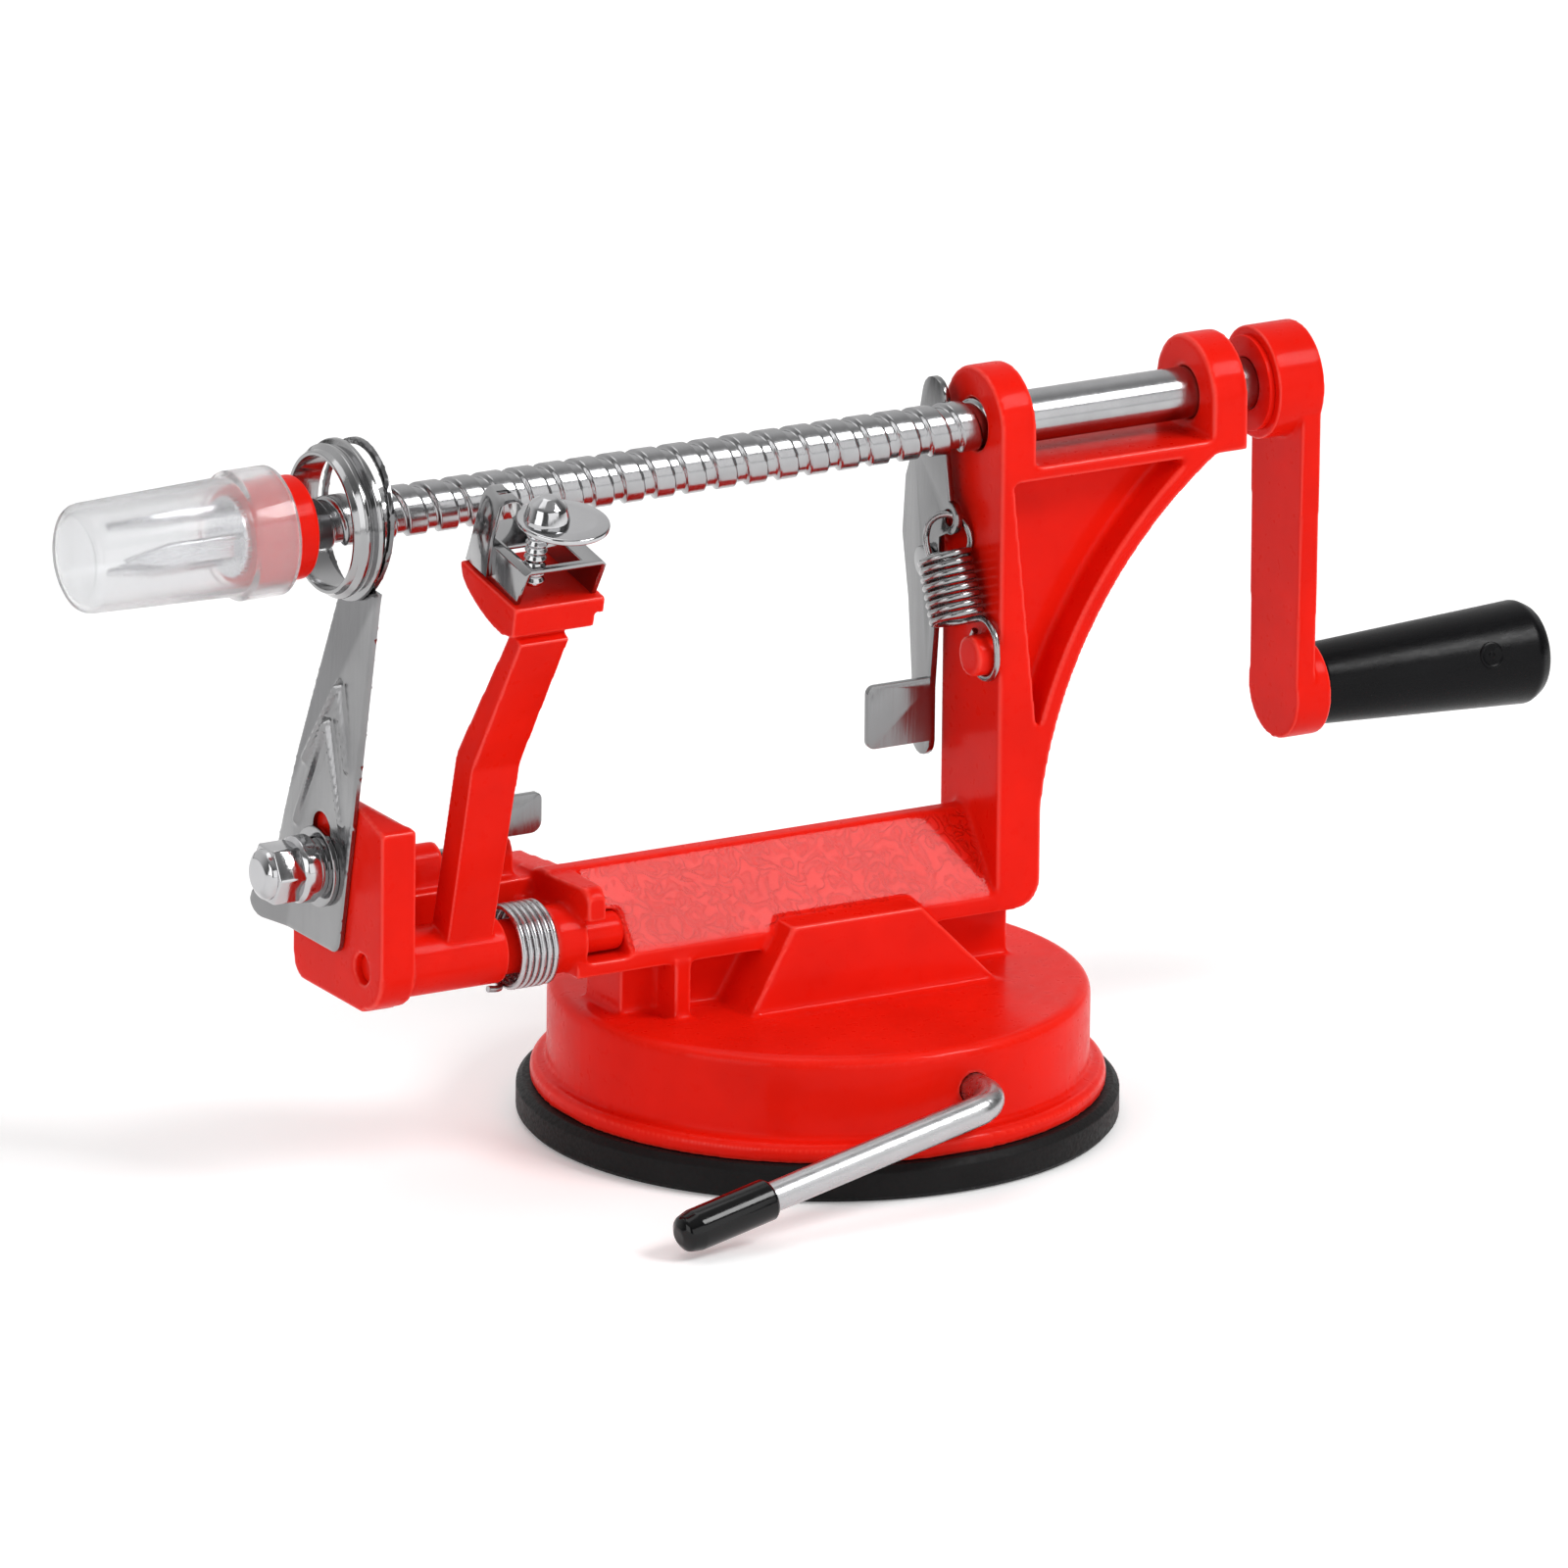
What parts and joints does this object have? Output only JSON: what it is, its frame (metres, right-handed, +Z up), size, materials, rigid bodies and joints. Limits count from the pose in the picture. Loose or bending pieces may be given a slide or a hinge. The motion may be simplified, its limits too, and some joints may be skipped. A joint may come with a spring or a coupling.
{
  "type": "apple peeler",
  "caption": "Hand-cranked apple peeler on a suction base: a threaded shaft feeds the fruit past a sprung peeling arm and through a coring ring with a slicing plate.",
  "frame": {"origin": "centre of the suction pad's flat underside", "axes": "+X along the drive shaft towards the crank, +Z up from the table, -Y towards the peeling arm at the front"},
  "size_m": [0.304, 0.1231, 0.1408],
  "materials": {
    "red_paint": "glossy, slightly orange-peel enamel on a casting",
    "chrome": "bright plated",
    "steel_plate": "polished sheet",
    "spring_wire": "bright drawn wire",
    "pad_rubber": "matte",
    "black_vinyl": "dipped, glossy",
    "black_plastic": "moulded, satin gloss",
    "clear_plastic": "clear, faintly frosted"
  },
  "bodies": {
    "frame": {"frame": "red_paint", "suction_pad": "pad_rubber", "slicer_blade": "steel_plate", "coring_ring": "steel_plate", "slicer_bolt": "steel_plate", "slicer_washer": "steel_plate", "slicer_lock_washer": "steel_plate", "slicer_nut": "chrome", "feed_lever_screw": "steel_plate", "feed_spring": "spring_wire", "torsion_spring": "spring_wire", "latch_pin": "steel_plate"},
    "stem": {"suction_stem": "black_plastic"},
    "suction_lever": {"suction_lever": "chrome", "lever_tip": "black_vinyl", "lever_clip": "steel_plate"},
    "carriage": {"thrust_washer": "red_paint"},
    "drive": {"drive_shaft": "chrome", "fork_collar": "red_paint", "fork": "steel_plate", "crank_arm": "red_paint", "crank_screw": "chrome", "grip_spindle": "chrome"},
    "grip": {"crank_grip": "black_plastic"},
    "cap": {"fork_cap": "clear_plastic"},
    "feed_lever": {"feed_lever": "steel_plate"},
    "peel_arm": {"peel_arm": "red_paint", "arm_pivot_pin": "red_paint", "blade_bracket": "steel_plate", "peel_blade": "steel_plate", "thumb_screw": "chrome"},
    "arm_latch": {"arm_latch": "steel_plate"}
  },
  "joints": [
    {"name": "shaft_feed", "type": "slide", "parent": "frame", "child": "carriage", "axis": [1, 0, 0], "range_m": [0, 0.11435]},
    {"name": "crank_turn", "type": "hinge", "parent": "carriage", "child": "drive", "pos_m": [0, 0, 0.126], "axis": [1, 0, 0], "range_deg": [0, 6480]},
    {"name": "grip_spin", "type": "hinge", "parent": "drive", "child": "grip", "pos_m": [0.12, 0, 0.0665], "axis": [1, 0, 0], "continuous": true},
    {"name": "cap_pull", "type": "slide", "parent": "drive", "child": "cap", "axis": [-1, 0, 0], "range_m": [0, 0.045]},
    {"name": "peel_arm_swing", "type": "hinge", "parent": "frame", "child": "peel_arm", "pos_m": [-0.07, -0.005, 0.0425], "axis": [1, 0, 0], "range_deg": [0, 50], "stiffness_Nm_per_rad": 0.08, "springref_deg": -28.65, "deforming": ["torsion_spring"]},
    {"name": "latch_swing", "type": "hinge", "parent": "frame", "child": "arm_latch", "pos_m": [-0.067, 0.01, 0.0555], "axis": [1, 0, 0], "range_deg": [-25, 0]},
    {"name": "feed_release", "type": "hinge", "parent": "frame", "child": "feed_lever", "pos_m": [0.0281, 0.0095, 0.098], "axis": [1, 0, 0], "range_deg": [-12, 0], "stiffness_Nm_per_rad": 0.3, "springref_deg": 11.46, "deforming": ["feed_spring"]},
    {"name": "suction_lever_turn", "type": "hinge", "parent": "frame", "child": "suction_lever", "pos_m": [0, 0, 0.0174], "axis": [-0.0958, 0.9954, 0], "range_deg": [0, 180]},
    {"name": "stem_lift", "type": "slide", "parent": "frame", "child": "stem", "axis": [0, 0, 1], "range_m": [0, 0.00301]}
  ],
  "couplings": [
    {"joint": "shaft_feed", "follows": "crank_turn", "m_per_rad": 0.0010106},
    {"joint": "stem_lift", "follows": "suction_lever_turn", "m_per_rad": 0.00095493}
  ]
}
